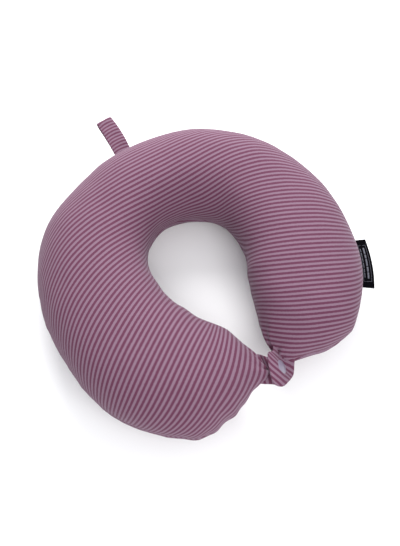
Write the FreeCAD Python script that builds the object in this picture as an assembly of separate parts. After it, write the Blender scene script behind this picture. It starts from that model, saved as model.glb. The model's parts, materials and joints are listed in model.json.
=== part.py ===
import FreeCAD, Part
import math
import os

# U shaped neck pillow, lying flat on a table, in millimetres.
# +Z is up, +Y points to the back of the neck, +X to the right arm, and the opening faces -Y.
# The origin is the centre of the model's box, on the table. The ring's own centre, which all the
# angles and radii below are measured from, lies off it, because the hang loop sticks out at the back.

V = FreeCAD.Vector
RING_CENTRE = V(-0.47, -32.76, 0)

# Ribs of the stuffed ring. Each has its angle from +Y, positive towards +X, in degrees, then the
# inner and outer radius and the lowest and highest point of the tube there.
RIBS = [
    (-176.0, 96, 119, 35, 49),
    (-173.0, 86, 120, 29, 55),
    (-168.0, 72, 123, 20, 64),
    (-158.0, 58, 141, 6, 76),
    (-145.0, 49, 154, 1.4, 83),
    (-125.0, 44, 155, 0.25, 86),
    (-90.0, 43, 148, 0.25, 85),
    (-45.0, 53, 152, 0.2, 83),
    (0.0, 58, 147, 0, 82),
    (45.0, 58, 148, 0.2, 83),
    (90.0, 46, 144, 0.25, 85),
    (125.0, 42, 146, 0.25, 86),
    (145.0, 48, 146, 1.7, 83),
    (156.0, 57, 135, 7.5, 76),
    (162.0, 70, 125, 17, 66),
    (167.0, 84, 121, 27, 57),
    (170.0, 96, 119, 35, 49),
]
FULLNESS = 2.2  # exponent of the tube's rounded section; 2 is an ellipse
SAG = 3.0  # how much of the section's height is pressed flat at its bottom
LEFT_TIP = RIBS[0][0]
RIGHT_TIP = RIBS[-1][0]
ARM_SPLIT = 55.0  # the arms bend from the back at this angle, on each side
SPLIT_GAP = 0.1  # degrees left free on each side of that cut
RIB_STEP = 12.0  # widest angle between two sections of a loft, in degrees
TABLE_CUT = 0.15  # the tube is drawn this much lower, and the back is then cut level with the table
WALL_POINTS = 13  # points that each curved edge of a section is drawn through
SEAM_STEP = 0.2  # degrees on each side that give a seam's direction
TABLE_SIZE = 400.0  # of the block that cuts the back level

# Layers, counted inwards from the outer face.
COVER_THICKNESS = 0.8
LINER_DEPTH = 1.1
LINER_THICKNESS = 0.3
FILL_DEPTH = 1.7
LINER_SHORT = 0.6  # degrees from an arm's tip to the end of its liner and its threads
FILL_SHORT = 1.0  # and to the end of its fill
CLOSING_THICKNESS = 0.6
SEAM_HEIGHT = 40.0
SEAM_WIDTH = 0.8  # gap between the panels, which the thread fills
THREAD_RADIUS = 0.38
PRESSED = 0.75  # share of a layer's depth that is left under the resting pillow

# Snap and tabs. The snap's frame has its origin on top of the upper tab at the snap's centre:
# LENGTHWAYS climbs to the upper tab's hem, ACROSS falls to the front, OUT points out of the cap.
SNAP_CENTRE = V(8.0, -117.0, 44.0)
OUT = V(0.73, -0.28, 0.62).normalize()
ACROSS = V(-0.034, -0.927, -0.373)
LENGTHWAYS = ACROSS.cross(OUT).normalize()
ACROSS = OUT.cross(LENGTHWAYS)
PLY = 0.8
INTERFACING = 0.3
TAB_STACK = 2 * PLY + INTERFACING
TAB_WIDTH = 27.0
TAB_CORNER = 5.0
UPPER_TAB_FROM = -10.0
UPPER_TAB_TO = 13.0
LOWER_TAB_FROM = -9.0
LOWER_TAB_TO = 10.0
FOLD_ROOM = 1.4  # from a tab's fold line to the start of its flap
FOLD_THREAD_RADIUS = 0.5
CAP_RADIUS = 6.2
CAP_HEIGHT = 1.2
DISC_RADIUS = 5.3
SOCKET_HEIGHT = 2.5
SOCKET_CAVITY_RADIUS = 2.3
SOCKET_CAVITY_DEPTH = 1.5
STUD_FLANGE = 1.0
KNOB_RADIUS = 2.1
KNOB_HEIGHT = 1.2
SNAP_CLEARANCE = 0.2
PRONG_RADIUS = 0.7
PRONG_HOLE_RADIUS = 0.8
PRONG_HEAD_RADIUS = 1.3
PRONG_HEAD_HEIGHT = 0.3
HEM_INSET = 2.3
STITCH_LENGTH = 2.0
STITCH_PITCH = 2.8
STITCH_SIZE = 0.35
ROOT_INSET = 3.0  # from the side of an arm's tip to the gathered root of its tab
ROOT_HALF_HEIGHT = 3.0
ROOT_CLEARANCE = 0.1  # between the root and the thread that the tab folds along

# Hang loop: a folded strip, sewn into the outer seam at the back.
LOOP_BASE = V(3.6, 149.0, SEAM_HEIGHT)
LOOP_WIDTH = 14.5
LOOP_LENGTH = 48.0
LOOP_LEAN = 3.5  # degrees, towards the right arm
LOOP_STRIP = 0.9
LOOP_TIP_RADIUS = 4.0
LOOP_START = 1.6
LOOP_FOLD_RADIUS = 0.1  # inside the strip where it is pressed flat at the seam
LOOP_STITCH_INSET = 2.0
LOOP_STITCH_START = 3.0
STITCH_CLEARANCE = 0.1

# Label: a folded satin strip, sewn into the right arm's outer seam.
LABEL_ANGLE = 120.0
LABEL_RADIUS = 146.3
LABEL_LENGTH = 44.0
LABEL_REACH = 13.0
LABEL_PLY = 0.3
LABEL_GAP = 0.3
LABEL_START = 0.6


def radial(angle):
    """The level direction from the ring's centre at an angle from +Y."""
    return V(math.sin(math.radians(angle)), math.cos(math.radians(angle)), 0)


def rise(column, i):
    """Slope of one of the ribs' columns from rib i to the next one."""
    return (RIBS[i + 1][column] - RIBS[i][column]) / (RIBS[i + 1][0] - RIBS[i][0])


def slope(column, i):
    """Slope of a column at rib i: level at a crest or hollow, so that no curve overshoots its ribs."""
    if i == 0 or i == len(RIBS) - 1:
        return rise(column, min(i, len(RIBS) - 2))
    before, after = rise(column, i - 1), rise(column, i)
    return 2 * before * after / (before + after) if before * after > 0 else 0.0


def rib(angle):
    """Inner radius, outer radius, bottom and top of the tube at any angle, smooth between ribs."""
    last = len(RIBS) - 2
    i = max(k for k in range(len(RIBS) - 1) if RIBS[k][0] <= angle or k == 0)
    i = min(i, last)
    span = RIBS[i + 1][0] - RIBS[i][0]
    t = (angle - RIBS[i][0]) / span
    values = []
    for column in range(1, 5):
        start, end = RIBS[i][column], RIBS[i + 1][column]
        out, into = slope(column, i) * span, slope(column, i + 1) * span
        cubic = 2 * start - 2 * end + out + into
        square = 3 * end - 3 * start - 2 * out - into
        values.append(((cubic * t + square) * t + out) * t + start)
    return values


def oval(angle, depth):
    """Middle radius, half width, centre height, half height and floor of the tube's rounded section."""
    inner, outer, bottom, top = rib(angle)
    floor = bottom + depth * PRESSED - TABLE_CUT
    half_height = (top - depth - floor + SAG) / 2
    centre = top - depth - half_height
    return (inner + outer) / 2, (outer - inner) / 2 - depth, centre, half_height, floor


def turn_at(angle, depth, height):
    """Where the section's outer side passes a height, as an angle about the tube's middle."""
    _, _, centre, half_height, _ = oval(angle, depth)
    share = (height - centre) / half_height
    return math.asin(math.copysign(abs(share) ** (FULLNESS / 2), share))


def wall(angle, depth, start, end):
    """A smooth edge of the section from one turn to another, a depth inside the outer face."""
    middle, half_width, centre, half_height, _ = oval(angle, depth)
    points = []
    for k in range(WALL_POINTS):
        turn = start + (end - start) * k / (WALL_POINTS - 1)
        across = math.copysign(abs(math.cos(turn)) ** (2 / FULLNESS), math.cos(turn))
        up = math.copysign(abs(math.sin(turn)) ** (2 / FULLNESS), math.sin(turn))
        place = radial(angle) * (middle + half_width * across)
        points.append(V(place.x, place.y, centre + half_height * up))
    curve = Part.BSplineCurve()
    curve.interpolate(Points=points, Parameters=[k / (WALL_POINTS - 1) for k in range(WALL_POINTS)])
    return curve.toShape()


def closed(edges):
    """One closed wire from edges in order, with straight edges across the gaps between them."""
    wire = []
    for edge, following in zip(edges, edges[1:] + edges[:1]):
        wire.append(edge)
        end, start = edge.valueAt(edge.LastParameter), following.valueAt(following.FirstParameter)
        if end.distanceToPoint(start) > 1e-6:
            wire.append(Part.LineSegment(end, start).toShape())
    return Part.Wire(wire)


def full_section(angle, depth):
    """The whole outline of the tube, flat where the pillow rests."""
    floor_turn = turn_at(angle, depth, oval(angle, depth)[4])
    return closed([wall(angle, depth, floor_turn, math.pi - floor_turn)])


def upper_panel(angle, depth, thickness):
    """The section of the upper one of two panels that meet at the seams."""
    edge = SEAM_HEIGHT + SEAM_WIDTH / 2
    near, far = turn_at(angle, depth, edge), turn_at(angle, depth + thickness, edge)
    return closed(
        [
            wall(angle, depth, near, math.pi - near),
            wall(angle, depth + thickness, math.pi - far, far),
        ]
    )


def lower_panel(angle, depth, thickness):
    """The section of the lower panel, flat where the pillow rests."""
    edge = SEAM_HEIGHT - SEAM_WIDTH / 2
    edges = []
    for layer in (depth, depth + thickness):
        seam_turn = turn_at(angle, layer, edge)
        floor_turn = turn_at(angle, layer, oval(angle, layer)[4])
        edges.append((seam_turn, floor_turn))
    (seam, floor), (deep_seam, deep_floor) = edges
    deep = depth + thickness
    return closed(
        [
            wall(angle, depth, seam, floor),
            wall(angle, depth, math.pi - floor, math.pi - seam),
            wall(angle, deep, math.pi - deep_seam, math.pi - deep_floor),
            wall(angle, deep, deep_floor, deep_seam),
        ]
    )


def seam_place(angle, side):
    """A point of the seam inside (side -1) or outside (side 1) the ring."""
    middle, half_width, centre, half_height, _ = oval(angle, 0)
    share = abs(SEAM_HEIGHT - centre) / half_height
    reach = half_width * (1 - share**FULLNESS) ** (1 / FULLNESS)
    place = radial(angle) * (middle + side * (reach - SEAM_WIDTH / 2))
    return V(place.x, place.y, SEAM_HEIGHT)


def seam_section(angle, side):
    """The round section of the thread between the panels, square to the seam."""
    along = seam_place(angle + SEAM_STEP, side) - seam_place(angle - SEAM_STEP, side)
    return Part.Wire([Part.Circle(seam_place(angle, side), along, THREAD_RADIUS).toShape()])


def along_ring(start, end, section, *sizes):
    """A solid with one kind of section along the ring between two angles."""
    stations = []
    for low, high in zip(RIBS, RIBS[1:]):
        count = max(2, math.ceil((high[0] - low[0]) / RIB_STEP))
        stations += [low[0] + (high[0] - low[0]) * k / count for k in range(count)]
    inner = [a for a in stations if start + 1 < a < end - 1]
    return Part.makeLoft([section(a, *sizes) for a in [start, *inner, end]], True, False, False, 3)


def stuffed_length(name, start, end):
    """Cover, seams, liner and fill of one length of the ring, which stop one inside another at a tip."""
    cover = (0, COVER_THICKNESS)
    liner = (LINER_DEPTH, LINER_THICKNESS)
    liner_span = [max(start, LEFT_TIP + LINER_SHORT), min(end, RIGHT_TIP - LINER_SHORT)]
    fill_span = [max(start, LEFT_TIP + FILL_SHORT), min(end, RIGHT_TIP - FILL_SHORT)]
    return {
        name + "_cover_upper": along_ring(start, end, upper_panel, *cover),
        name + "_cover_lower": along_ring(start, end, lower_panel, *cover),
        name + "_inner_seam": along_ring(*liner_span, seam_section, -1),
        name + "_outer_seam": along_ring(*liner_span, seam_section, 1),
        name + "_liner_upper": along_ring(*liner_span, upper_panel, *liner),
        name + "_liner_lower": along_ring(*liner_span, lower_panel, *liner),
        name + "_bead_fill": along_ring(*fill_span, full_section, FILL_DEPTH),
    }


def quad(corners):
    """A closed wire through four corners."""
    return Part.makePolygon(corners + [corners[0]])


def placed(shape, origin, x_axis, y_axis, z_axis):
    """A shape moved from its own frame to the one with this origin and these axes."""
    turned = FreeCAD.Rotation(x_axis, y_axis, z_axis, "ZXY")
    shape.Placement = FreeCAD.Placement(origin, turned).multiply(shape.Placement)
    return shape


def in_snap_frame(shape):
    """A shape drawn about the snap's axis, moved to the snap."""
    return placed(shape, SNAP_CENTRE, LENGTHWAYS, ACROSS, OUT)


def disc(radius, low, high):
    """A round disc about the snap's axis, between two heights in the snap's frame."""
    return Part.makeCylinder(radius, high - low, V(0, 0, low))


def ply(start, end, low, high):
    """One rounded ply of a tab in the snap's frame, with the hole that the snap's prong goes through."""
    sheet = Part.makeBox(end - start, TAB_WIDTH, high - low, V(start, -TAB_WIDTH / 2, low))
    corners = [e for e in sheet.Edges if abs(e.tangentAt(e.FirstParameter).z) > 0.99]
    sheet = sheet.makeFillet(TAB_CORNER, corners)
    return sheet.cut(disc(PRONG_HOLE_RADIUS, low - 1, high + 1))


def tab(name, start, end, top, hem_at, stitches_low):
    """The two plies of a tab, the interfacing between them and the row of stitches along its hem."""
    stitches = []
    across = -TAB_WIDTH / 2 + TAB_CORNER
    while across + STITCH_LENGTH <= TAB_WIDTH / 2 - TAB_CORNER:
        corner = V(hem_at - STITCH_SIZE / 2, across, stitches_low)
        stitches.append(Part.makeBox(STITCH_SIZE, STITCH_LENGTH, STITCH_SIZE, corner))
        across += STITCH_PITCH
    middle = top - PLY - INTERFACING
    pieces = {
        name + "_top_ply": ply(start, end, top - PLY, top),
        name + "_interfacing": ply(start + 1, end - 1, middle, top - PLY),
        name + "_under_ply": ply(start, end, middle - PLY, middle),
        name + "_hem_stitches": Part.makeCompound(stitches),
    }
    return {key: in_snap_frame(shape) for key, shape in pieces.items()}


def domed_cap(face, outward, prong_end):
    """A snap cap: a domed disc on a tab's face with a prong through the tab, riveted over at its end."""
    dome_radius = (CAP_RADIUS**2 + CAP_HEIGHT**2) / (2 * CAP_HEIGHT)
    ball = Part.makeSphere(dome_radius, V(0, 0, face + outward * (CAP_HEIGHT - dome_radius)))
    cap = ball.common(disc(CAP_RADIUS, min(face, face + outward * 2), max(face, face + outward * 2)))
    prong = disc(PRONG_RADIUS, min(face, prong_end), max(face, prong_end))
    head = prong_end + outward * PRONG_HEAD_HEIGHT
    rivet = disc(PRONG_HEAD_RADIUS, min(prong_end, head), max(prong_end, head))
    return cap.fuse([prong, rivet]).removeSplitter()


def snap():
    """The four moulded pieces of the snap, closed: two caps, the socket and the stud."""
    socket_top = -TAB_STACK
    socket_low = socket_top - SOCKET_HEIGHT
    web = socket_low + SOCKET_CAVITY_DEPTH
    socket = disc(DISC_RADIUS, socket_low, socket_top)
    socket = socket.cut(disc(SOCKET_CAVITY_RADIUS, socket_low - 1, web))
    socket = socket.cut(disc(PRONG_HOLE_RADIUS, web - 1, socket_top + 1))
    stud_top = socket_low - SNAP_CLEARANCE
    stud_low = stud_top - STUD_FLANGE
    knob_top = stud_top + KNOB_HEIGHT
    recess = knob_top - PRONG_HEAD_HEIGHT - SNAP_CLEARANCE
    stud = disc(DISC_RADIUS, stud_low, stud_top).fuse(disc(KNOB_RADIUS, stud_low, knob_top))
    stud = stud.cut(disc(PRONG_HOLE_RADIUS, stud_low - 1, knob_top + 1))
    stud = stud.cut(disc(PRONG_HEAD_RADIUS + SNAP_CLEARANCE / 2, recess, knob_top + 1))
    lower_face = stud_low - TAB_STACK
    pieces = {
        "snap_upper_cap": domed_cap(0, 1, web - PRONG_HEAD_HEIGHT),
        "snap_socket": socket,
        "snap_stud": stud.removeSplitter(),
        "snap_lower_cap": domed_cap(lower_face, -1, recess + PRONG_HEAD_HEIGHT),
    }
    return {key: in_snap_frame(shape) for key, shape in pieces.items()}, stud_low


def fold_line(lengthways, height):
    """A point on a tab's fold line, in the ring's frame."""
    return SNAP_CENTRE + LENGTHWAYS * lengthways + OUT * height


def fold_thread(lengthways, height):
    """The line of thread that a tab folds along."""
    length = TAB_WIDTH - 2 * TAB_CORNER
    rod = Part.makeCylinder(FOLD_THREAD_RADIUS, length, V(0, 0, -length / 2))
    return placed(rod, fold_line(lengthways, height), OUT, LENGTHWAYS, ACROSS)


def tab_root(tip, lengthways, height, beyond):
    """The short gathered length of a tab between its arm's tip and its fold line."""
    inner, outer, bottom, top = rib(tip)
    away = radial(tip).cross(V(0, 0, 1)) * (1 if tip > 0 else -1)
    middle = (bottom + top) / 2
    first = []
    for radius, way in ((inner, -1), (outer, -1), (outer, 1), (inner, 1)):
        inset = ROOT_INSET if radius == inner else -ROOT_INSET
        place = radial(tip) * (radius + inset) + away * CLOSING_THICKNESS
        first.append(V(place.x, place.y, middle + way * ROOT_HALF_HEIGHT))
    half = TAB_WIDTH / 2 - TAB_CORNER
    line = fold_line(lengthways, height) + LENGTHWAYS * beyond
    thick = OUT * (TAB_STACK / 2)
    second = [line - ACROSS * half - thick, line + ACROSS * half - thick]
    second += [line + ACROSS * half + thick, line - ACROSS * half + thick]
    return Part.makeLoft([quad(first), quad(second)], True, True)


def closing_seam(tip):
    """The flat stitched end that closes an arm's tube around the root of its tab."""
    away = radial(tip).cross(V(0, 0, 1)) * (1 if tip > 0 else -1)
    return Part.Face(full_section(tip, 0)).extrude(away * CLOSING_THICKNESS)


def hang_loop():
    """The folded strip of the hang loop and the row of stitches beside its edge."""
    tip = LOOP_LENGTH - LOOP_TIP_RADIUS

    def teardrop(root_radius, tip_radius, root):
        """A solid as wide as the strip, with a small round root and a larger round tip."""
        lean = math.asin((tip_radius - root_radius) / (tip - root))
        side = V(0, -math.sin(lean), math.cos(lean))
        start = V(0, root, 0)
        end = V(0, tip, 0)
        low = V(side.x, side.y, -side.z)
        edges = [
            Part.LineSegment(start + side * root_radius, end + side * tip_radius),
            Part.Arc(end + side * tip_radius, end + V(0, tip_radius, 0), end + low * tip_radius),
            Part.LineSegment(end + low * tip_radius, start + low * root_radius),
            Part.Arc(start + low * root_radius, start - V(0, root_radius, 0), start + side * root_radius),
        ]
        wire = Part.Wire([e.toShape() for e in edges])
        face = Part.Face(wire)
        face.translate(V(-LOOP_WIDTH / 2, 0, 0))
        return face.extrude(V(LOOP_WIDTH, 0, 0))

    strip = LOOP_STRIP
    outside = teardrop(strip, LOOP_TIP_RADIUS, LOOP_START + strip)
    inside = teardrop(LOOP_FOLD_RADIUS, LOOP_TIP_RADIUS - strip, LOOP_START + 3 * strip)
    strap = outside.cut(inside)
    stitches = []
    along = LOOP_START + LOOP_STITCH_START
    climb = (LOOP_TIP_RADIUS - strip) / (tip - LOOP_START - strip)
    while along + STITCH_LENGTH < tip:
        lift = strip + (along - LOOP_START) * climb + STITCH_CLEARANCE
        corner = V(-LOOP_WIDTH / 2 + LOOP_STITCH_INSET, along, lift)
        stitches.append(Part.makeBox(STITCH_SIZE, STITCH_LENGTH, STITCH_SIZE, corner))
        along += STITCH_PITCH
    pieces = {"hang_loop_strap": strap, "hang_loop_stitches": Part.makeCompound(stitches)}
    lean = FreeCAD.Rotation(V(0, 0, 1), -LOOP_LEAN)
    for shape in pieces.values():
        shape.Placement = FreeCAD.Placement(LOOP_BASE, lean)
    return pieces


def label():
    """The folded satin label, as two plies that meet in a fold at its outer edge."""
    thick = 2 * LABEL_PLY + LABEL_GAP
    block = Part.makeBox(LABEL_REACH - LABEL_START, LABEL_LENGTH, thick)
    slit = Part.makeBox(LABEL_REACH, LABEL_LENGTH, LABEL_GAP, V(-LABEL_PLY - LABEL_START, 0, LABEL_PLY))
    strip = block.cut(slit)
    strip.translate(V(LABEL_START, -LABEL_LENGTH / 2, -thick / 2))
    outward = radial(LABEL_ANGLE)
    origin = outward * LABEL_RADIUS + V(0, 0, SEAM_HEIGHT)
    return placed(strip, origin, outward, V(0, 0, 1).cross(outward), V(0, 0, 1))


def export(shapes):
    """Writes each node and returns the box of the whole model."""
    os.makedirs("parts", exist_ok=True)
    whole = FreeCAD.BoundBox()
    for name, shape in shapes.items():
        moved = shape.copy()
        moved.translate(RING_CENTRE)
        if not moved.isValid() or not moved.Solids:
            print("not a valid solid:", name)
        print("%-26s solids %2d volume %10.1f" % (name, len(moved.Solids), moved.Volume))
        whole.add(moved.optimalBoundingBox(False))
        moved.exportStep("parts/" + name + ".step")
    return whole


def main():
    """Makes every node and prints the fold axes, as the record needs them."""
    split = ARM_SPLIT
    shapes = {}
    shapes.update(stuffed_length("back", -split + SPLIT_GAP, split - SPLIT_GAP))
    shapes.update(stuffed_length("left_arm", LEFT_TIP, -split - SPLIT_GAP))
    shapes.update(stuffed_length("right_arm", split + SPLIT_GAP, RIGHT_TIP))
    under_table = Part.makeBox(TABLE_SIZE, TABLE_SIZE, 10, V(-TABLE_SIZE / 2, -TABLE_SIZE / 2, -10))
    shapes["back_cover_lower"] = shapes["back_cover_lower"].cut(under_table)
    snap_pieces, lower_top = snap()
    shapes.update(snap_pieces)
    shapes.update(tab("upper_tab", UPPER_TAB_FROM, UPPER_TAB_TO, 0, UPPER_TAB_TO - HEM_INSET, 0))
    under = lower_top - TAB_STACK - STITCH_SIZE
    shapes.update(
        tab("lower_tab", LOWER_TAB_FROM, LOWER_TAB_TO, lower_top, LOWER_TAB_FROM + HEM_INSET, under)
    )
    upper_fold = (UPPER_TAB_FROM - FOLD_ROOM, -TAB_STACK / 2)
    lower_fold = (LOWER_TAB_TO + FOLD_ROOM, lower_top - TAB_STACK / 2)
    shapes["right_arm_fold_thread"] = fold_thread(*upper_fold)
    shapes["left_arm_fold_thread"] = fold_thread(*lower_fold)
    clear = FOLD_THREAD_RADIUS + ROOT_CLEARANCE
    shapes["right_arm_tab_root"] = tab_root(RIGHT_TIP, *upper_fold, -clear)
    shapes["left_arm_tab_root"] = tab_root(LEFT_TIP, *lower_fold, clear)
    shapes["right_arm_closing_seam"] = closing_seam(RIGHT_TIP)
    shapes["left_arm_closing_seam"] = closing_seam(LEFT_TIP)
    shapes.update(hang_loop())
    shapes["label"] = label()
    whole = export(shapes)
    print("box", whole)
    print("shift to centre it by", -whole.Center.x, -whole.Center.y)
    for name, fold in (("upper", upper_fold), ("lower", lower_fold)):
        print(name, "tab folds about", fold_line(*fold) + RING_CENTRE, "along", -ACROSS)


main()
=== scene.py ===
import json
import math

import bpy
import numpy as np
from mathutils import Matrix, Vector


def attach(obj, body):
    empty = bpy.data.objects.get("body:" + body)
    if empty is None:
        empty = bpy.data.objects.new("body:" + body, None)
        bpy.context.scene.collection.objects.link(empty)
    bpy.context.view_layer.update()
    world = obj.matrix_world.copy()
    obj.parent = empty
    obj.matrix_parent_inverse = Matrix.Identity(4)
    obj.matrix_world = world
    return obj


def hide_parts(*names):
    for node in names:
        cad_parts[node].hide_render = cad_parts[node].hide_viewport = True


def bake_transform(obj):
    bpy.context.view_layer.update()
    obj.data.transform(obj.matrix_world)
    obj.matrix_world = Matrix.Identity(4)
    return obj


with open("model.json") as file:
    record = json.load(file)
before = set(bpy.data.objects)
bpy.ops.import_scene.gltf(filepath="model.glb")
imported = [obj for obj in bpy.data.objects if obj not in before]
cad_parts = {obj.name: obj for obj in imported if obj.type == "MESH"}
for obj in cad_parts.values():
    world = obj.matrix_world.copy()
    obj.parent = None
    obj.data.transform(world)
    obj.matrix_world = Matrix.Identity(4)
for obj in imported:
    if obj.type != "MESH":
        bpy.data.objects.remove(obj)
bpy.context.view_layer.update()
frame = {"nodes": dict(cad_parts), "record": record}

# U shaped neck pillow. Sizes are in millimetres in the ring's own frame: its origin is the ring's centre
# on the table, +Y points to the back of the neck and +X to the right arm. to_row() turns them into the
# metres of the row frame.
MM = 0.001
REST_MOUNT = next(m for m in frame["record"]["mounts"] if m["name"] == "rest_face")
REST_MOUNT_PLACE = np.array([0, 100, 0])  # where that mount is in the ring's frame
RING_CENTRE = np.array(REST_MOUNT["pos_m"]) / MM - REST_MOUNT_PLACE
RANDOM = np.random.default_rng(7)

# ---------------------------------------------------------------- driving dimensions
# Ribs of the stuffed ring: angle from +Y in degrees, positive towards +X, then the inner and outer radius
# and the lowest and highest point of the tube there. They are the CAD's but for fuller, blunter tips.
RIBS = np.array(
    [
        (-177.2, 98, 118, 39, 49),
        (-175.8, 92, 119, 36, 52.5),
        (-173.3, 84, 120, 31, 57),
        (-170, 73, 122, 24, 63),
        (-166, 64.5, 127, 16, 69),
        (-158, 57.5, 140, 6.5, 76),
        (-145, 51.8, 155.4, 1.4, 83),
        (-125, 44.5, 155.8, 0.25, 86),
        (-90, 43, 148.6, 0.25, 85),
        (-45, 51.8, 151.2, 0.2, 83),
        (-22, 56, 145, 0.1, 82.4),
        (0, 59, 146.2, 0, 82),
        (45, 58, 149, 0.2, 83),
        (90, 46.4, 144, 0.25, 85),
        (125, 42.5, 147, 0.25, 86),
        (145, 49, 147, 1.7, 83),
        (156, 58.5, 136.5, 7.5, 76),
        (162, 66.5, 127, 14, 67),
        (167, 75, 121.5, 21, 58),
        (170, 81, 119, 27, 52),
        (172, 86.5, 117, 31.5, 48),
        (173, 92, 116, 34.5, 45),
    ],
    float,
)
FULLNESS = 2.2  # power of the tube's section: 2 is an ellipse, and more is boxier
SAG = 3.0  # how far the section would reach below its lowest point if the table did not flatten it
FLOOR_SOFTNESS = 0.9  # how softly the flat rest turns into the side
FLOOR_SINK = 0.02
SECTION_SAMPLES = 720
FLOOR_CLEARANCE = 0.05

SEAM_HEIGHT = 40.0  # of the seam round the outside
SEAM_BELOW_TOP = 4.0  # the least that the outer seam is below the tube's top
# Height of the seam round the hole: angles, then heights.
INNER_SEAM_HEIGHTS = ((-180, -30, 20, 60, 100, 150), (34, 30, 30, 20, 14, 12))
INNER_SEAM_SHARE = 0.2  # it is at least this share of the tube's height above its bottom

STATION_STEP = 1.3  # along the tube's middle
UPPER_POINTS = 110  # across the upper panel, from seam to seam
LOWER_POINTS = 100
# Rows that close each tip: their size as a share of the tip's own, and how far out they are.
TIP_ROLL = ((0.94, 0.7), (0.84, 1.2), (0.68, 1.5), (0.45, 1.6), (0.2, 1.6), (0.02, 1.6))
TIP_ROWS = len(TIP_ROLL)

# Waves of relief: how many plane waves, and the shortest and longest of them.
BROAD_WAVES = (14, 55, 110)
FINE_WAVES = (20, 18, 34)
GATHER_WAVES = (16, 7, 12)
CREASE_WAVES = (12, 17, 24)
BROAD_RELIEF = 0.45
FINE_RELIEF = 0.12
SEAM_GROOVE = 1.2  # depth of the groove that a seam pulls in
SEAM_GROOVE_WIDTH = 1.5
SEAM_GATHERS = (0.22, 0.30)  # height of the puckers at the outer and at the inner seam
SEAM_GATHER_REACH = 5
# Creases where an arm turns in to its tip: angle, spread of angle, height, reach from the outer seam.
ARM_CREASES = ((-156, 11, 0.9, 22), (152, 10, 0.45, 18))
# Folds that run out of each tip, left and right: folds round the tube in two waves, and their phase.
TIP_FOLDS = (((7, 11), 0.7), ((6, 10), 2.1))
TIP_FOLD_HEIGHT = 0.75
TIP_FOLD_REACH = 13

# How far the stripes are turned from the X direction along the ring: angle and turn, in degrees.
STRIPE_TURNS = np.array(
    [
        (-176, 58), (-165, 48), (-150, 35), (-120, 33), (-90, 27), (-60, 17), (-30, 5), (0, 0),
        (30, -1), (45, -5), (60, -16), (75, -25), (90, -30), (120, -28), (150, -27), (170, -39),
    ],
    float,
)
STRIPE_PITCH = 4.35
# How much closer the stripes lie, at SQUEEZE_ARC from the tube's top, towards the outer and inner seam.
OUTER_SQUEEZE = 0.25
INNER_SQUEEZE = 0.04
SQUEEZE_ARC = 50
# Towards the arms' ends the stripes become bands that are straight in plan: angles, then their share.
LEVEL_STRIPES = ((-170, -140, -105, 80, 105, 130), (1, 0.6, 0, 0, 0.5, 1))
# How far those bands lean for each millimetre down: on the right arm, and on the left one's outer side.
RIGHT_SLANT = 0.42
LEFT_SLANT = 0.1
UV_SCALE = 0.01  # a UV map holds the flat fabric's own millimetres, times this

SEAM_THREAD_RADIUS = 0.42
SEAM_THREAD_STEP = 0.7
STITCH_PITCH = 2.8
STITCH_SIZE = (1.0, 0.24, 0.17)  # half of a stitch's length, width and height

# The snap's frame: its middle, and the directions out of its face, along the tabs and across them.
SNAP_CENTRE = np.array([8.0, -117.0, 44.0])
OUT = np.array([0.73, -0.28, 0.62]) / np.linalg.norm([0.73, -0.28, 0.62])
FOLD_LINE = [-0.034, -0.927, -0.373]
LENGTHWAYS = np.cross(FOLD_LINE, OUT)
LENGTHWAYS /= np.linalg.norm(LENGTHWAYS)
ACROSS = np.cross(OUT, LENGTHWAYS)

TAB_ROWS, TAB_COLUMNS = 90, 61
TAB_STITCH_MARGIN = 1.5  # between the groove's end and the tab's edge
TAB_STACK = 1.9  # thickness of a tab's plies together
TAB_HALF_WIDTH = 12.5
TAB_END_HALF_WIDTH = 13  # where the rounding of the hem's corners is measured from
TAB_EDGE_ROUNDING = 1.2  # length of the rounded edge at the hem
LOWER_TAB_TOP = -5.6  # height of the lower tab's upper face in the snap's frame
TAB_PITCH = 0.9  # of the cover's own stripes
ROOT_LENGTH = 9.0  # of the thick, gathered root
ROOT_THICKNESS = 4.2  # what the gathers add on each side
PLEAT_HEIGHT = 0.55
PLEAT_REACH = 4.5
HEM_STITCH_INSET = 2.3
HEM_GROOVE = 0.22
HEM_GROOVE_WIDTH = 0.5

LOOP_BASE = np.array([3.1, 148.0, SEAM_HEIGHT])
LOOP_WIDTH = 16.4
LOOP_LENGTH = 52.0
LOOP_PITCH = 0.88  # of the cover's own stripes
LOOP_LEAN = 3.5
LOOP_TWIST = 7.0  # degrees, at its tip
LOOP_BOW = 1.3
LOOP_TIP_RADIUS = 4.0
LOOP_TIP_INSET = 0.9
LOOP_SIDE = 0.44  # share of the path in each of its two straight lengths
LOOP_ROOT = 1  # how far its ends go into the seam
LOOP_ROOT_GAP = 0.7  # half of the gap between its ends
LOOP_HALF_THICKNESS = 0.48
LOOP_STITCH_INSET = 2.0
LOOP_GROOVE = 0.14
LOOP_GROOVE_WIDTH = 0.4

LABEL_ANGLE = 120.0
LABEL_RADIUS = 146.3
LABEL_ROOT = 0.9  # how far it goes into the seam
LABEL_LENGTH = 48.0
LABEL_REACH = 14.3
LABEL_CURL = 1.6
LABEL_DROOP = 1.2
LABEL_HALF_GAP = 0.35  # half of the thickness of the folded label
LABEL_PLY = 0.22
# The woven frame: its inner and outer side's distance from the seam, and half its length.
FRAME_LOW, FRAME_HIGH, FRAME_END = 4.9, 12.2, 18.0
FRAME_LINE = 0.22
# Rows of plain bars: distance from the seam, height of a bar, and the bars' lengths.
MARK_ROWS = ((9.4, 1.5, (6.2, 3.8, 7.0, 4.8, 6.0)), (6.2, 0.6, (3.4, 4.8, 3.8, 5.4, 3.6, 4.4)))
MARK_SPACE = 0.7
MARK_LEVELS = (0.36, 0.45)  # bottom and top of a bar, above the label's middle surface

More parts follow.
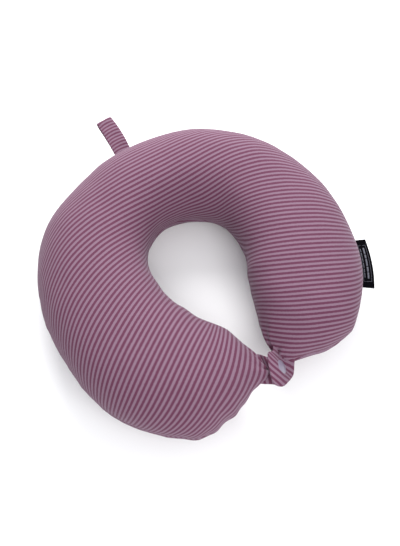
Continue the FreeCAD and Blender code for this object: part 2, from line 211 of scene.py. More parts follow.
# Camera, in the ring's frame: it looks at CAMERA_TARGET from this direction and distance.
CAMERA_AZIMUTH = -32.5
CAMERA_ELEVATION = 65.0
CAMERA_DISTANCE = 600.0
CAMERA_TARGET = np.array([-3.2, -3.0, 42.0])
CAMERA_LENS = 42.8


# ---------------------------------------------------------------- helpers
def to_row(points):
    """Ring frame millimetres as row frame metres."""
    return (np.asarray(points, float) + RING_CENTRE) * MM


def unit(v):
    return v / np.maximum(np.linalg.norm(v, axis=-1, keepdims=True), 1e-9)


def run_along(line):
    """How far each point of a line is from its first one, along it."""
    return np.concatenate([[0], np.cumsum(np.linalg.norm(np.diff(line, axis=0), axis=-1))])


def read_along(line, run, at):
    """A line's values, known at run, at other places."""
    return np.stack([np.interp(at, run, line[:, k]) for k in range(line.shape[1])], -1)


def hermite(t, values, slope, x):
    """The cubic curve through values at t with the given slopes, at each x."""
    i = np.clip(np.searchsorted(t, x, side="right") - 1, 0, len(t) - 2)
    span = (t[i + 1] - t[i])[:, None]
    f = (x - t[i])[:, None] / span
    a, b = values[i], values[i + 1]
    m0, m1 = slope[i] * span, slope[i + 1] * span
    return ((2 * a - 2 * b + m0 + m1) * f + 3 * b - 3 * a - 2 * m0 - m1) * f * f + m0 * f + a


def smooth_table(table, x):
    """Each column of a table along its first one, smooth and with no overshoot between the rows."""
    t, values = table[:, 0], table[:, 1:]
    rise = np.diff(values, axis=0) / np.diff(t)[:, None]
    slope = np.zeros_like(values)
    slope[0], slope[-1] = rise[0], rise[-1]
    before, after = rise[:-1], rise[1:]
    same_way = before * after > 0
    total = np.where(same_way, before + after, 1)
    slope[1:-1] = np.where(same_way, 2 * before * after / total, 0)
    return hermite(t, values, slope, x)


def radial(angles):
    """Level directions out of the ring's centre."""
    a = np.radians(angles)
    return np.stack([np.sin(a), np.cos(a), np.zeros_like(a)], -1)


def grid_normals(points, closed_across=False):
    """Unit normals of a grid of points, which is closed round its second index if asked."""
    along = np.gradient(points, axis=0)
    if closed_across:
        across = (np.roll(points, -1, 1) - np.roll(points, 1, 1)) / 2
    else:
        across = np.gradient(points, axis=1)
    return unit(np.cross(across, along))


def waves(points, count, shortest, longest, rng):
    """Smooth random relief, about -1 to 1, from seeded plane waves."""
    total = np.zeros(points.shape[:-1])
    for _ in range(count):
        direction = unit(rng.normal(size=3))
        length = rng.uniform(shortest, longest)
        total += np.sin(points @ direction * 2 * math.pi / length + rng.uniform(0, 2 * math.pi))
    return total / math.sqrt(count / 2)


def near(points, centre, size):
    """A soft spot, 1 at its centre."""
    return np.exp(-((points - np.array(centre, float)) ** 2).sum(-1) / (2 * size**2))


def mesh_piece(name, vertices, faces, material, uvs=None, normals=None):
    """A mesh object from ring frame vertices. uvs and normals are per vertex."""
    mesh = bpy.data.meshes.new(name)
    mesh.from_pydata(to_row(vertices).tolist(), [], faces)
    mesh.update()
    for polygon in mesh.polygons:
        polygon.use_smooth = True
    if uvs is not None:
        layer = mesh.uv_layers.new(name="fabric")
        index = np.zeros(len(mesh.loops), int)
        mesh.loops.foreach_get("vertex_index", index)
        layer.data.foreach_set("uv", (uvs[index] * UV_SCALE).astype(np.float32).ravel())
    if normals is not None:
        mesh.normals_split_custom_set_from_vertices(normals.tolist())
    mesh.materials.append(material)
    piece = bpy.data.objects.new(name, mesh)
    bpy.context.scene.collection.objects.link(piece)
    return piece


def grid_faces(rows, columns, closed_across=False, offset=0):
    """Quads of a grid of vertices that are stored row by row."""
    last = columns if closed_across else columns - 1
    faces = []
    for i in range(rows - 1):
        for j in range(last):
            k = (j + 1) % columns
            a, b = offset + i * columns, offset + (i + 1) * columns
            faces.append((a + j, a + k, b + k, b + j))
    return faces


def closed_sheet(front, behind):
    """Vertices and faces of the sheet between two grids of points, closed by a rim of quads."""
    rows, columns, _ = front.shape
    count = rows * columns
    faces = grid_faces(rows, columns)
    faces += [tuple(v + count for v in reversed(face)) for face in grid_faces(rows, columns)]
    rim = [i * columns for i in range(rows)] + [(rows - 1) * columns + j for j in range(1, columns)]
    rim += [i * columns + columns - 1 for i in range(rows - 2, -1, -1)] + list(range(columns - 2, 0, -1))
    faces += [(a, a + count, b + count, b) for a, b in zip(rim, rim[1:] + rim[:1])]
    return np.concatenate([front.reshape(-1, 3), behind.reshape(-1, 3)]), faces


# ---------------------------------------------------------------- materials
def principled(name, **values):
    """A material with these values set on its shader's own sockets."""
    material = bpy.data.materials.new(name)
    material.use_nodes = True
    shader = material.node_tree.nodes["Principled BSDF"]
    for socket, value in values.items():
        shader.inputs[socket.replace("_", " ")].default_value = value
    return material, material.node_tree, shader


def math_node(tree, operation, first, second=None):
    node = tree.nodes.new("ShaderNodeMath")
    node.operation = operation
    for socket, value in zip(node.inputs, (first, second)):
        if value is None:
            continue
        if isinstance(value, (int, float)):
            socket.default_value = value
        else:
            tree.links.new(value, socket)
    return node.outputs[0]


def times(tree, value, factor):
    return math_node(tree, "MULTIPLY", value, factor)


def flat_coordinates(tree):
    """The fabric's own coordinates in millimetres: along the stripes and across them."""
    uv = tree.nodes.new("ShaderNodeUVMap")
    uv.uv_map = "fabric"
    split = tree.nodes.new("ShaderNodeSeparateXYZ")
    tree.links.new(uv.outputs["UV"], split.inputs[0])
    return tuple(times(tree, split.outputs[axis], 1 / UV_SCALE) for axis in "XY")


def smooth_step(tree, value, low, high):
    node = tree.nodes.new("ShaderNodeMapRange")
    node.interpolation_type = "SMOOTHSTEP"
    tree.links.new(value, node.inputs["Value"])
    node.inputs["From Min"].default_value = low
    node.inputs["From Max"].default_value = high
    return node.outputs["Result"]


def mix_colours(tree, factor, first, second):
    node = tree.nodes.new("ShaderNodeMix")
    node.data_type = "RGBA"
    tree.links.new(factor, node.inputs["Factor"])
    node.inputs["A"].default_value = first
    node.inputs["B"].default_value = second
    return node.outputs["Result"]


def sine(tree, value, length):
    return math_node(tree, "SINE", times(tree, value, 2 * math.pi / length))


def noise(tree, scale, detail=2.0):
    node = tree.nodes.new("ShaderNodeTexNoise")
    node.inputs["Scale"].default_value = scale
    node.inputs["Detail"].default_value = detail
    place = tree.nodes.new("ShaderNodeTexCoord")
    tree.links.new(place.outputs["Object"], node.inputs["Vector"])
    return node.outputs["Fac"]


def even_noise(tree, scale, size):
    """Noise about zero, of this size from its lowest to its highest."""
    return times(tree, math_node(tree, "SUBTRACT", noise(tree, scale), 0.5), size)


def bump(tree, shader, height, distance):
    node = tree.nodes.new("ShaderNodeBump")
    node.inputs["Distance"].default_value = distance
    node.inputs["Strength"].default_value = 1.0
    tree.links.new(height, node.inputs["Height"])
    tree.links.new(node.outputs["Normal"], shader.inputs["Normal"])


DARK_STRIPE = (0.104, 0.029, 0.060, 1)
LIGHT_STRIPE = (0.197, 0.118, 0.166, 1)
STRIPE_EDGES = (-0.45, 0.5)  # the stripe's sine goes from dark to light between these
EDGE_RAGGEDNESS = 0.7
HEATHER = 0.5
WALE_PITCH = 1.5
COURSE_PITCH = 0.62
LOOP_HEIGHT = 0.00006  # metres
RIB_PITCHES = (0.45, 0.6)  # of the satin, along and across
RIB_HEIGHT = 0.00003


def striped_knit():
    """Fine jersey knitted in stripes, with its small loops as a bump."""
    material, tree, shader = principled(
        "striped_knit", Roughness=0.9, Sheen_Weight=0.13, Sheen_Roughness=0.4,
        Sheen_Tint=(0.85, 0.82, 0.9, 1), Specular_IOR_Level=0.25,
    )
    along, across = flat_coordinates(tree)
    edge = math_node(tree, "ADD", across, even_noise(tree, 900.0, EDGE_RAGGEDNESS))
    stripe = smooth_step(tree, sine(tree, edge, STRIPE_PITCH), *STRIPE_EDGES)
    mask = math_node(tree, "ADD", stripe, even_noise(tree, 1400.0, HEATHER))
    colour = mix_colours(tree, mask, DARK_STRIPE, LIGHT_STRIPE)
    tree.links.new(colour, shader.inputs["Base Color"])
    wales = math_node(tree, "ABSOLUTE", sine(tree, along, WALE_PITCH))
    courses = sine(tree, across, COURSE_PITCH)
    bump(tree, shader, math_node(tree, "ADD", wales, times(tree, courses, 0.4)), LOOP_HEIGHT)
    return material


def thread_material(name, colour):
    """Matt spun thread."""
    material, tree, shader = principled(
        name, Base_Color=colour, Roughness=0.75, Sheen_Weight=0.2, Specular_IOR_Level=0.3
    )
    bump(tree, shader, noise(tree, 2500.0, 3.0), 0.0001)
    return material


def satin():
    """Black woven satin with fine ribs."""
    material, tree, shader = principled(
        "label_satin", Base_Color=(0.0012, 0.001, 0.002, 1), Roughness=0.6, Specular_IOR_Level=0.02,
    )
    along, across = flat_coordinates(tree)
    lengthways, crossways = sine(tree, along, RIB_PITCHES[0]), sine(tree, across, RIB_PITCHES[1])
    bump(tree, shader, math_node(tree, "ADD", lengthways, times(tree, crossways, 0.5)), RIB_HEIGHT)
    return material


def plastic():
    """Moulded plastic of the snap, with a faint grain."""
    material, tree, shader = principled(
        "snap_plastic", Base_Color=(0.20, 0.172, 0.23, 1), Roughness=0.32, Specular_IOR_Level=0.5,
        Coat_Weight=0.1,
    )
    bump(tree, shader, noise(tree, 700.0), 0.00002)
    return material


# ---------------------------------------------------------------- the stuffed ring
def ring_stations():
    """Angles of the tube's sections, evenly spaced along its middle line, and which one is at the back."""
    fine = np.linspace(RIBS[0, 0], RIBS[-1, 0], 4000)
    inner, outer, _, _ = smooth_table(RIBS, fine).T
    length = run_along(radial(fine) * ((inner + outer) / 2)[:, None])
    at_back = np.interp(0, fine, length)
    left = np.linspace(0, at_back, round(at_back / STATION_STEP))
    right = np.linspace(at_back, length[-1], round((length[-1] - at_back) / STATION_STEP))
    stations = np.interp(np.concatenate([left, right[1:]]), length, fine)
    back = len(left) - 1
    stations[back] = 0
    return stations, back


def section(values):
    """One section of the tube, as distances from the ring's centre and heights: from the bottom up the
    outer side, over the top and down the inner side."""
    inner, outer, bottom, top = values
    half_height = (top - bottom + SAG) / 2
    turn = np.linspace(-math.pi / 2, 3 * math.pi / 2, SECTION_SAMPLES)
    across = np.sign(np.cos(turn)) * np.abs(np.cos(turn)) ** (2 / FULLNESS)
    up = np.sign(np.sin(turn)) * np.abs(np.sin(turn)) ** (2 / FULLNESS)
    height = top - half_height + half_height * up
    height = bottom + FLOOR_SOFTNESS * np.logaddexp(0, (height - bottom) / FLOOR_SOFTNESS) - FLOOR_SINK
    return (inner + outer) / 2 + (outer - inner) / 2 * across, height


def seam_heights(angle, values):
    """Heights of the outer and the inner seam of a section."""
    _, _, bottom, top = values
    inner = np.interp(angle, *INNER_SEAM_HEIGHTS)
    return min(SEAM_HEIGHT, top - SEAM_BELOW_TOP), max(inner, bottom + INNER_SEAM_SHARE * (top - bottom))


def ring_grid(stations):
    """Points of the whole tube: for each station, from the outer seam over the top to the inner seam, then
    back under the bottom. Also the signed arc from the top or bottom line, positive outwards."""
    points, arcs = [], []
    for angle, values in zip(stations, smooth_table(RIBS, stations)):
        across, height = section(values)
        top = int(np.argmax(height))
        half = len(across) // 2
        outer, inner = seam_heights(angle, values)
        out_seam = int(np.argmin(np.abs(height[:half] - outer)))
        in_seam = half + int(np.argmin(np.abs(height[half:] - inner)))
        length = np.concatenate([[0], np.cumsum(np.hypot(np.diff(across), np.diff(height)))])
        whole = length[-1]
        upper = np.linspace(length[out_seam], length[in_seam], UPPER_POINTS)
        lower = np.linspace(length[in_seam], length[out_seam] + whole, LOWER_POINTS)[1:-1]
        wrapped = np.mod(np.concatenate([upper, lower]), whole)
        x = np.interp(wrapped, length, across)
        z = np.interp(wrapped, length, height)
        points.append(radial(angle) * x[:, None] + np.array([0, 0, 1]) * z[:, None])
        arcs.append(np.concatenate([length[top] - upper, lower - whole]))
    return np.array(points), np.array(arcs)


def fabric_coordinates(stations, arcs, points):
    """Where each point of the tube is on the flat fabric: along the stripes and across them. On the body
    of the ring the cloth keeps its arc length, and at the tips the stripes stay level bands in plan."""
    inner, outer, _, _ = smooth_table(RIBS, stations).T
    middle = (inner + outer) / 2
    stripe = np.radians(smooth_table(STRIPE_TURNS, stations)[:, 0])
    turn = np.radians(stations) + stripe
    step = np.radians(np.gradient(stations))
    bend = np.gradient(middle)
    along = np.cumsum(middle * np.cos(turn) * step + bend * np.sin(turn))
    across = np.cumsum(-middle * np.sin(turn) * step + bend * np.cos(turn))
    back = int(np.argmin(np.abs(stations)))
    along -= along[back]
    across -= across[back]
    squeeze = np.where(arcs > 0, OUTER_SQUEEZE, INNER_SQUEEZE)
    arcs = arcs * (1 + squeeze * (arcs / SQUEEZE_ARC) ** 2)

    plan = points - (radial(stations) * middle[:, None])[:, None]
    level_u = plan[..., 0] * np.cos(stripe)[:, None] + plan[..., 1] * np.sin(stripe)[:, None]
    level_v = plan[..., 1] * np.cos(stripe)[:, None] - plan[..., 0] * np.sin(stripe)[:, None]
    # The bands lean back on the way down from the top, and on the way up from the bottom below the seams.
    height = points[..., 2]
    drop = height.max() - height
    fall = height.max(1)[:, None] - height
    drop[:, UPPER_POINTS:] = height[:, UPPER_POINTS:]
    fall[:, UPPER_POINTS:] = height[:, UPPER_POINTS:] - height.min(1)[:, None]
    right = (stations > 0)[:, None]
    level_v -= np.where(right, RIGHT_SLANT * drop, 0)
    # On the outer side they close up as the tube's wall gets steeper.
    lean = np.where(right, 0, LEFT_SLANT * fall)
    slant = np.where(right, RIGHT_SLANT, LEFT_SLANT)
    level_v -= (lean + (1 - slant) * fall**2 / (2 * SEAM_HEIGHT)) * (arcs > 0)

    level = np.interp(stations, *LEVEL_STRIPES)[:, None]
    u = along[:, None] + (1 - level) * arcs * np.sin(turn)[:, None] + level * level_u
    v = across[:, None] + (1 - level) * arcs * np.cos(turn)[:, None] + level * level_v
    return np.stack([u, v], -1)


def ring_relief(points, stations):
    """How far each point of the cover stands out of the plain tube."""
    rows = len(points)
    inner_seam = UPPER_POINTS - 1
    steps = np.linalg.norm(np.roll(points, -1, 1) - points, axis=-1)
    around = np.concatenate([np.zeros((rows, 1)), np.cumsum(steps, 1)], 1)
    whole = around[:, -1:]
    around = around[:, :-1]
    from_outer = np.minimum(around, whole - around)
    from_inner = np.abs(around - around[:, inner_seam:inner_seam + 1])
    from_left = run_along(points.mean(1))[:, None]
    from_right = from_left[-1] - from_left

    relief = BROAD_RELIEF * waves(points, *BROAD_WAVES, RANDOM)
    relief += FINE_RELIEF * waves(points, *FINE_WAVES, RANDOM)
    gather = waves(points * [1, 1, 0.35], *GATHER_WAVES, RANDOM)
    coarse = waves(points * [1, 1, 0.3], *CREASE_WAVES, RANDOM)
    for distance, strength in zip((from_outer, from_inner), SEAM_GATHERS):
        relief -= SEAM_GROOVE * np.exp(-((distance / SEAM_GROOVE_WIDTH) ** 2))
        relief += strength * gather * np.exp(-distance / SEAM_GATHER_REACH)
    for angle, spread, height, reach in ARM_CREASES:
        knee = np.exp(-(((stations[:, None] - angle) / spread) ** 2))
        relief += height * coarse * knee * np.exp(-from_outer / reach)

    share = around / whole * 2 * math.pi
    for distance, (folds, phase) in zip((from_left, from_right), TIP_FOLDS):
        fold = np.sin(folds[0] * share + phase)
        fold = fold + 0.6 * np.sin(folds[1] * share + 2 * phase + 0.06 * distance)
        relief += TIP_FOLD_HEIGHT * fold * np.exp(-distance / TIP_FOLD_REACH)
    return relief


def closed_tips(points, normals, flat):
    """Adds rows at both ends of the tube that roll the gathered cloth into the mouth of the tip."""
    for end, inside in ((0, 3), (-1, -4)):
        centre = points[end].mean(0)
        away = unit(centre - points[inside].mean(0))
        middle = flat[end].mean(0)
        more = []
        for scale, push in TIP_ROLL:
            more.append(
                (
                    centre + (points[end] - centre) * scale + away * push,
                    unit(normals[end] * scale**2 + away * (1.1 - scale)),
                    middle + (flat[end] - middle) * scale,
                )
            )
        if end == 0:
            more.reverse()
        joined = []
        for grid, extra in zip((points, normals, flat), zip(*more)):
            joined.append(np.concatenate([extra, grid] if end == 0 else [grid, extra]))
        points, normals, flat = joined
    return points, normals, flat


def outward_normals(points):
    """Normals of the tube's grid, pointing out of it."""
    normals = grid_normals(points, True)
    outwards = points - points.mean(1, keepdims=True)
    return -normals if (normals * outwards).sum() < 0 else normals


def cover(material):
    """The knitted cover: an upper and a lower panel on each side of the back's middle. Gives the pieces,
    and the tube's points and normals with the row that is at the back's middle."""
    stations, back = ring_stations()
    points, arcs = ring_grid(stations)
    points = points + outward_normals(points) * ring_relief(points, stations)[..., None]
    points[..., 2] = np.maximum(points[..., 2], FLOOR_CLEARANCE)
    flat = fabric_coordinates(stations, arcs, points)
    points, normals, flat = closed_tips(points, outward_normals(points), flat)
    columns = points.shape[1]
    back += TIP_ROWS
    panels = {
        "upper": list(range(UPPER_POINTS)),
        "lower": [*range(UPPER_POINTS - 1, columns), 0],
    }
    sides = {"left": slice(0, back + 1), "right": slice(back, None)}
    pieces = {}
    for panel, chosen in panels.items():
        for side, span in sides.items():
            part = points[span][:, chosen]
            uv = flat[span][:, chosen].copy()
            if panel == "lower":
                # The seams' points have the upper panel's coordinates, so this panel's run on to them.
                uv[:, 0] = uv[:, 1] + (uv[:, 1] - uv[:, 2])
                uv[:, -1] = uv[:, -2] + (uv[:, -2] - uv[:, -3])
            rows, wide, _ = part.shape
            pieces[panel, side] = mesh_piece(
                f"cover_{panel}_{side}", part.reshape(-1, 3), grid_faces(rows, wide), material,
                uv.reshape(-1, 2), normals[span][:, chosen].reshape(-1, 3),
            )
    return pieces, points, normals, back


def seam_thread(name, line, outward, material):
    """A row of stitches sunk in a seam's groove, as one mesh."""
    sides = 8
    run = run_along(line)
    at = np.arange(0, run[-1], SEAM_THREAD_STEP)
    line = read_along(line, run, at)
    out = unit(read_along(outward, run, at))
    ahead = unit(np.gradient(line, axis=0))
    side = np.cross(ahead, out)
    swell = SEAM_THREAD_RADIUS * (0.45 + 0.55 * np.abs(np.sin(math.pi * at / STITCH_PITCH)))
    turns = np.linspace(0, 2 * math.pi, sides, endpoint=False)
    ring = np.cos(turns)[None, :, None] * out[:, None] + np.sin(turns)[None, :, None] * side[:, None]
    tube = line[:, None] + ring * swell[:, None, None]
    return mesh_piece(name, tube.reshape(-1, 3), grid_faces(len(at), sides, True), material)


def seams(points, normals, back, material):
    """Thread along the inner and the outer seam of each half."""
    pieces = {}
    for where, column in (("outer", 0), ("inner", UPPER_POINTS - 1)):
        line = points[:, column] - 0.1 * normals[:, column]
        for side, span in (("left", slice(2, back + 1)), ("right", slice(back, -2))):
            pieces[where, side] = seam_thread(
                f"seam_{where}_{side}", line[span], normals[span, column], material
            )
    return pieces


# ---------------------------------------------------------------- tabs
def in_snap_frame(lengthways, across, height):
    return SNAP_CENTRE + lengthways * LENGTHWAYS + across * ACROSS + height * OUT


def tab_surface(stations):
    """Middle surface of a tab through stations, each a (top, centre, low) triple of points. Row by row
    it goes from the arm to the hem, and column by column from the tab's top edge to its low one. Also how
    far each row is from the first."""
    stations = np.array(stations, float)
    knots = run_along(stations[:, 1])
    values = stations.reshape(len(stations), 9)
    at = np.linspace(0, knots[-1], TAB_ROWS)
    lines = hermite(knots, values, np.gradient(values, knots, axis=0), at).reshape(TAB_ROWS, 3, 3)
    share = np.linspace(-1, 1, TAB_COLUMNS)[None, :, None]
    top, middle, low = lines[:, 0:1], lines[:, 1:2], lines[:, 2:3]
    surface = middle + share * (low - top) / 2 + share**2 * ((low + top) / 2 - middle)
    return surface, at


def tab_piece(name, stations, face, hem_corner, stripe, material, relief=None):
    """A tab as one soft closed sheet. face is +1 or -1: which way its outer face looks from the surface.
    hem_corner is the radius of the hem's corners, and stripe the angle of its stripes."""
    surface, at = tab_surface(stations)
    share = np.linspace(-1, 1, TAB_COLUMNS)
    # The hem's corners are rounded: rows near the end are drawn in towards the middle.
    to_hem = at[-1] - at
    inset = np.clip(1 - to_hem / hem_corner, 0, 1)
    keep = 1 - (1 - np.sqrt(1 - inset**2 * 0.999)) * hem_corner / TAB_END_HALF_WIDTH
    for row, kept in zip(surface, keep):
        row[:] = read_along(row.copy(), share, share * kept)
    normals = grid_normals(surface) * face

    # Half the thickness: round at the side edges and the hem, and thick at the root's gathers.
    side_edge = np.sqrt(np.clip(1 - np.abs(share)[None] ** 5, 0, 1))
    hem_edge = np.sqrt(np.clip(1 - (1 - np.clip(to_hem / TAB_EDGE_ROUNDING, 0, 1)) ** 2, 0, 1))
    edge = side_edge * hem_edge[:, None]
    root = np.clip(1 - at / ROOT_LENGTH, 0, 1)
    half = (TAB_STACK / 2 + ROOT_THICKNESS * root**1.5)[:, None] * edge

    across = share[None] * keep[:, None] * TAB_HALF_WIDTH
    groove = HEM_GROOVE * np.exp(-(((to_hem[:, None] - HEM_STITCH_INSET) / HEM_GROOVE_WIDTH) ** 2))
    groove = groove * (np.abs(across) < TAB_HALF_WIDTH - TAB_STITCH_MARGIN)
    pleats = np.sin(across * 1.25 + 0.8) + 0.6 * np.sin(across * 2.2 + 2.0)
    past_root = np.clip(at - 0.4 * ROOT_LENGTH, 0, None)
    pleats = PLEAT_HEIGHT * pleats * np.exp(-past_root / PLEAT_REACH)[:, None]
    front = surface + normals * (half - groove + pleats * edge)[..., None]
    behind = surface - normals * (half - groove - pleats * edge)[..., None]
    if relief is not None:
        front = front + normals * (relief(front) * edge)[..., None]

    along, aside = at[:, None] / TAB_PITCH, across / TAB_PITCH
    flat = np.stack(
        [
            -along * math.cos(stripe) + aside * math.sin(stripe),
            along * math.sin(stripe) + aside * math.cos(stripe),
        ],
        -1,
    ).reshape(-1, 2)
    vertices, faces = closed_sheet(front, behind)
    if face < 0:
        faces = [tuple(reversed(quad)) for quad in faces]
    piece = mesh_piece(name, vertices, faces, material, np.concatenate([flat, flat]))
    piece.data.validate()
    return piece, front, normals, at


def row_of_stitches(name, line, outward, material):
    """Short rounded stitches along a line, as one mesh."""
    run = run_along(line)
    at = np.arange(STITCH_PITCH / 2, run[-1], STITCH_PITCH)
    centres = read_along(line, run, at)
    outs = unit(read_along(outward, run, at))
    aheads = unit(read_along(np.gradient(line, run, axis=0), run, at))
    half_length, half_width, half_height = STITCH_SIZE
    rings, sides = 7, 8
    vertices, faces = [], []
    for centre, out, ahead in zip(centres, outs, aheads):
        side = np.cross(out, ahead)
        base = len(vertices)
        for i in range(rings):
            slope = math.pi * (i + 0.35) / (rings - 0.3)
            for j in range(sides):
                turn = 2 * math.pi * j / sides
                vertices.append(
                    centre - ahead * half_length * math.cos(slope)
                    + side * half_width * math.sin(slope) * math.cos(turn)
                    + out * half_height * math.sin(slope) * math.sin(turn)
                )
        faces += grid_faces(rings, sides, True, base)
        faces.append(tuple(base + j for j in reversed(range(sides))))
        faces.append(tuple(base + (rings - 1) * sides + j for j in range(sides)))
    return mesh_piece(name, np.array(vertices), faces, material)


def upper_tab(material):
    """The right arm's tab, which folds over the lower one."""
    mid = -TAB_STACK / 2
    stations = [
        [(24, -86, 48), (28.5, -101, 51), (29, -111, 43)],
        [(18.5, -88.5, 46.5), (22.5, -104.5, 46.5), (22.5, -117, 38.5)],
        [(14.2, -92, 46.0), (17.2, -110.0, 40.6), (15.6, -126.0, 33.6)],
        [in_snap_frame(-5.5, -18.0, mid), in_snap_frame(-5.5, 0, mid), in_snap_frame(-5.5, 14.2, mid)],
        [in_snap_frame(0, -15.8, mid), in_snap_frame(0, 0, mid), in_snap_frame(0, 14.2, mid)],
        [(5.2, -101.4, 50.2), in_snap_frame(6.2, -0.5, mid), (-0.6, -131.6, 43.0)],
        [(2.4, -101.4, 50.0), (-4.6, -115.6, 49.6), (-8.2, -127.6, 46.6)],
    ]

    def folds(points):
        """A ridge beside the snap and a pinched corner."""
        ridge = 0.9 * near(points, in_snap_frame(7.4, 0.5, 0), 2.0)
        pinch = 1.8 * near(points, in_snap_frame(-9.5, -8.4, 0), 1.7)
        pinch += 1.5 * near(points, in_snap_frame(-6.8, -8.0, 0), 1.3)
        return ridge + pinch + 0.22 * waves(points, 8, 9, 15, np.random.default_rng(3))

    return tab_piece("upper_tab", stations, 1, 4.2, math.radians(50), material, folds)


def lower_tab(material):
    """The left arm's tab, under the upper one."""
    mid = LOWER_TAB_TOP - TAB_STACK / 2
    stations = [
        [(-16, -94, 44), (-17, -105.5, 42), (-19, -116, 41)],
        [(-6.0, -95.0, 44), (-8.5, -108.5, 42), (-13, -120.5, 40)],
        [(-2.0, -98.5, 46), (-3.6, -112.5, 43.5), (-6.5, -125.5, 41.2)],
        [in_snap_frame(6, -15, mid), in_snap_frame(6, 0, mid), in_snap_frame(6, 14, mid)],
        [in_snap_frame(0, -12, mid), in_snap_frame(0, 0, mid), in_snap_frame(0, 12, mid)],
        [in_snap_frame(-9, -12, mid), in_snap_frame(-9, 0, mid), in_snap_frame(-9, 12, mid)],
    ]
    return tab_piece("lower_tab", stations, -1, 5.0, math.radians(85), material)


def hem_stitches(name, front, normals, at, material):
    """The topstitching beside a tab's hem."""
    row = int(np.argmin(np.abs(at - (at[-1] - HEM_STITCH_INSET))))
    chosen = slice(8, -8)
    line = front[row, chosen] + normals[row, chosen] * 0.05
    return row_of_stitches(name, line, normals[row, chosen], material)


# ---------------------------------------------------------------- hang loop and label
def loop_path():
    """The hang loop's path from the side: distances out from the seam and heights about it, and the share
    of the path that each point is at."""
    half_gap = LOOP_TIP_RADIUS - LOOP_TIP_INSET
    tip = LOOP_LENGTH - LOOP_TIP_RADIUS
    shares = np.linspace(0, 1, 150)
    path = []
    for s in shares:
        f = min(s, 1 - s) / LOOP_SIDE
        if f < 1:
            gap = LOOP_ROOT_GAP + (half_gap - LOOP_ROOT_GAP) * f**1.5
            path.append((-LOOP_ROOT + (tip + LOOP_ROOT) * f, gap if s < 0.5 else -gap))
        else:
            turn = math.pi / 2 - (s - LOOP_SIDE) / (1 - 2 * LOOP_SIDE) * math.pi
            path.append((tip + half_gap * math.cos(turn), half_gap * math.sin(turn)))
    path = np.pad(np.array(path), ((3, 3), (0, 0)), "edge")
    window = np.ones(7) / 7
    return np.stack([np.convolve(path[:, k], window, "valid") for k in range(2)], -1), shares


def hang_loop(material, stitch_material):
    """A folded strip: out from the seam, round a soft tip and back, with pressed edges."""
    path, shares = loop_path()
    columns = 33
    share = np.linspace(-1, 1, columns)
    lean = math.radians(LOOP_LEAN)
    out, up = path.T
    bow = LOOP_BOW * np.sin(math.pi * np.maximum(out, 0) / LOOP_LENGTH)
    centre = np.stack([math.sin(lean) * out + bow, math.cos(lean) * out, up], -1) + LOOP_BASE
    reach = np.clip(out / LOOP_LENGTH, 0, 1)
    half_width = LOOP_WIDTH / 2 * (1 - 0.04 * reach + 0.09 * np.sin(math.pi * reach))
    twist = np.radians(LOOP_TWIST) * reach
    side = np.stack([np.cos(lean) * np.cos(twist), -np.sin(lean) * np.cos(twist), np.sin(twist)], -1)
    surface = centre[:, None] + side[:, None] * (half_width[:, None] * share[None])[..., None]
    normals = grid_normals(surface)
    if (normals * (surface - surface.mean((0, 1)))).sum() < 0:
        normals = -normals

    thick = LOOP_HALF_THICKNESS * np.sqrt(np.clip(1 - np.abs(share) ** 6, 0, 1))
    x = share * LOOP_WIDTH / 2
    from_stitches = x + LOOP_WIDTH / 2 - LOOP_STITCH_INSET
    groove = LOOP_GROOVE * np.exp(-((from_stitches / LOOP_GROOVE_WIDTH) ** 2))
    relief = 0.12 * waves(surface, 8, 9, 16, np.random.default_rng(5))
    front = surface + normals * (thick - groove + relief)[..., None]
    behind = surface - normals * (thick - relief)[..., None]

    # The stripes are drawn a little askew and out of true towards the tip, alike on both lengths.
    drawn = 0.3 * share[None] - 1.5 * share[None] ** 2
    towards_tip = np.sign(0.5 - shares)[:, None]
    across = run_along(centre)[:, None] / LOOP_PITCH - drawn * towards_tip
    flat = np.stack(np.broadcast_arrays(x[None], across), -1).reshape(-1, 2)
    vertices, faces = closed_sheet(front, behind)
    piece = mesh_piece("hang_loop", vertices, faces, material, np.concatenate([flat, flat]))

    column = int(np.argmin(np.abs(from_stitches)))
    chosen = slice(6, -6)
    stitches = row_of_stitches(
        "hang_loop_stitching", front[chosen, column] + normals[chosen, column] * 0.03,
        normals[chosen, column], stitch_material,
    )
    return piece, stitches


def label_point(along, reach, ply):
    """A point of the label: along the seam, out from it, and up by ply."""
    angle = LABEL_ANGLE + np.degrees(along / LABEL_RADIUS)
    share = reach / LABEL_REACH
    curl = LABEL_CURL * np.sin(along / LABEL_LENGTH * 2.4 + 0.5) * share**1.5
    out = radial(angle) * (LABEL_RADIUS - LABEL_ROOT + reach)[..., None]
    out[..., 2] = SEAM_HEIGHT + curl - LABEL_DROOP * share**2 + ply
    return out


def label(material):
    """A satin strip folded in two: one sheet that goes out, round the fold and back."""
    columns = 45
    out = np.linspace(0, LABEL_REACH, 24)
    turn = np.linspace(math.pi / 2, -math.pi / 2, 9)[1:-1]
    profile = [(r, LABEL_HALF_GAP) for r in out]
    profile += [(LABEL_REACH + LABEL_HALF_GAP * math.cos(a), LABEL_HALF_GAP * math.sin(a)) for a in turn]
    profile += [(r, -LABEL_HALF_GAP) for r in out[::-1]]
    profile = np.array(profile)
    along = np.linspace(-LABEL_LENGTH / 2, LABEL_LENGTH / 2, columns)
    grid_along, grid_reach = np.meshgrid(along, profile[:, 0], indexing="ij")
    surface = label_point(grid_along, grid_reach, profile[:, 1])
    flat = np.stack(np.broadcast_arrays(along[:, None], run_along(profile)[None]), -1).reshape(-1, 2)
    normals = grid_normals(surface)
    if normals[columns // 2, 5, 2] < 0:
        normals = -normals
    vertices, faces = closed_sheet(surface, surface - normals * LABEL_PLY)
    return mesh_piece("side_label", vertices, faces, material, np.concatenate([flat, flat]))


